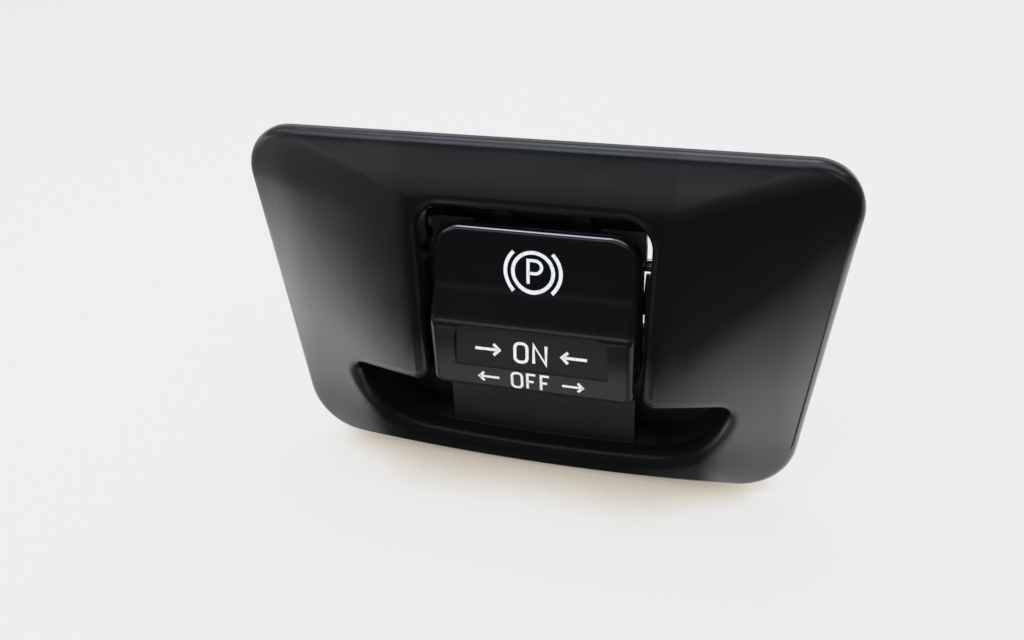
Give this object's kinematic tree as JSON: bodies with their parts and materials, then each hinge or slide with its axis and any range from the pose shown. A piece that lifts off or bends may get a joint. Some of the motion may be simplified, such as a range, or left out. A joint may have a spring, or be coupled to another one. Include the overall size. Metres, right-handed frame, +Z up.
{
  "type": "parking brake switch",
  "caption": "Dashboard switch for an electric parking brake: trapezoid bezel, crescent finger well and a rocking paddle on pivot pins, with contact box and connector behind.",
  "frame": {"origin": "foot of the bezel's flat rear rim, on the left to right centre line, in the plane that seats on the dashboard; the guide runners and the bezel's foot stand on Z = 0", "axes": "+X to the right as seen from behind the switch, the front faces -Y, +Y goes into the dashboard, +Z up"},
  "size_m": [0.1028, 0.0499, 0.0624],
  "materials": {
    "bezel_plastic": "soft touch, satin",
    "well_plastic": "fine grain, satin",
    "paddle_plastic": "soft touch, satin",
    "carrier_plastic": "satin",
    "housing_plastic": "satin",
    "slider_plastic": "satin",
    "bush_plastic": "satin",
    "clear_plastic": "clear",
    "stop_rubber": "matte",
    "spring_steel": "bright",
    "screw_steel": "zinc plated",
    "pin_steel": "ground",
    "board_laminate": "solder mask",
    "contact_brass": "plated",
    "tinned_brass": "tin plated",
    "lamp_plastic": "moulded",
    "chip_plastic": "moulded"
  },
  "bodies": {
    "base": {"bezel": "bezel_plastic", "finger_well": "well_plastic", "retaining_clips": "spring_steel", "pivot_pins": "pin_steel", "pivot_bushes": "bush_plastic", "pin_rings": "spring_steel", "switch_housing": "housing_plastic", "bump_stops": "stop_rubber", "upper_spring": "spring_steel", "lower_spring": "spring_steel", "circuit_board": "board_laminate", "contact_tracks": "contact_brass", "leds": "lamp_plastic", "board_components": "chip_plastic", "board_screws": "screw_steel", "rear_cover": "housing_plastic", "connector_pins": "tinned_brass", "cover_screws": "screw_steel", "module_screws": "screw_steel", "well_screws": "screw_steel"},
    "paddle": {"paddle_shell": "paddle_plastic", "paddle_carrier": "carrier_plastic", "carrier_screws": "screw_steel", "light_guide": "clear_plastic"},
    "slider": {"contact_slider": "slider_plastic", "contact_bridges": "contact_brass"}
  },
  "joints": [
    {"name": "paddle_pivot", "type": "hinge", "parent": "base", "child": "paddle", "pos_m": [0, 0.0045, 0.0398], "axis": [-1, 0, 0], "range_deg": [-5, 10], "stiffness_Nm_per_rad": 0.6},
    {"name": "contact_slide", "type": "slide", "parent": "base", "child": "slider", "axis": [0, 0, 1], "range_m": [-0.0026, 0.0014], "deforming": ["upper_spring", "lower_spring"]}
  ],
  "couplings": [
    {"joint": "contact_slide", "follows": "paddle_pivot", "m_per_rad": -0.0134}
  ]
}
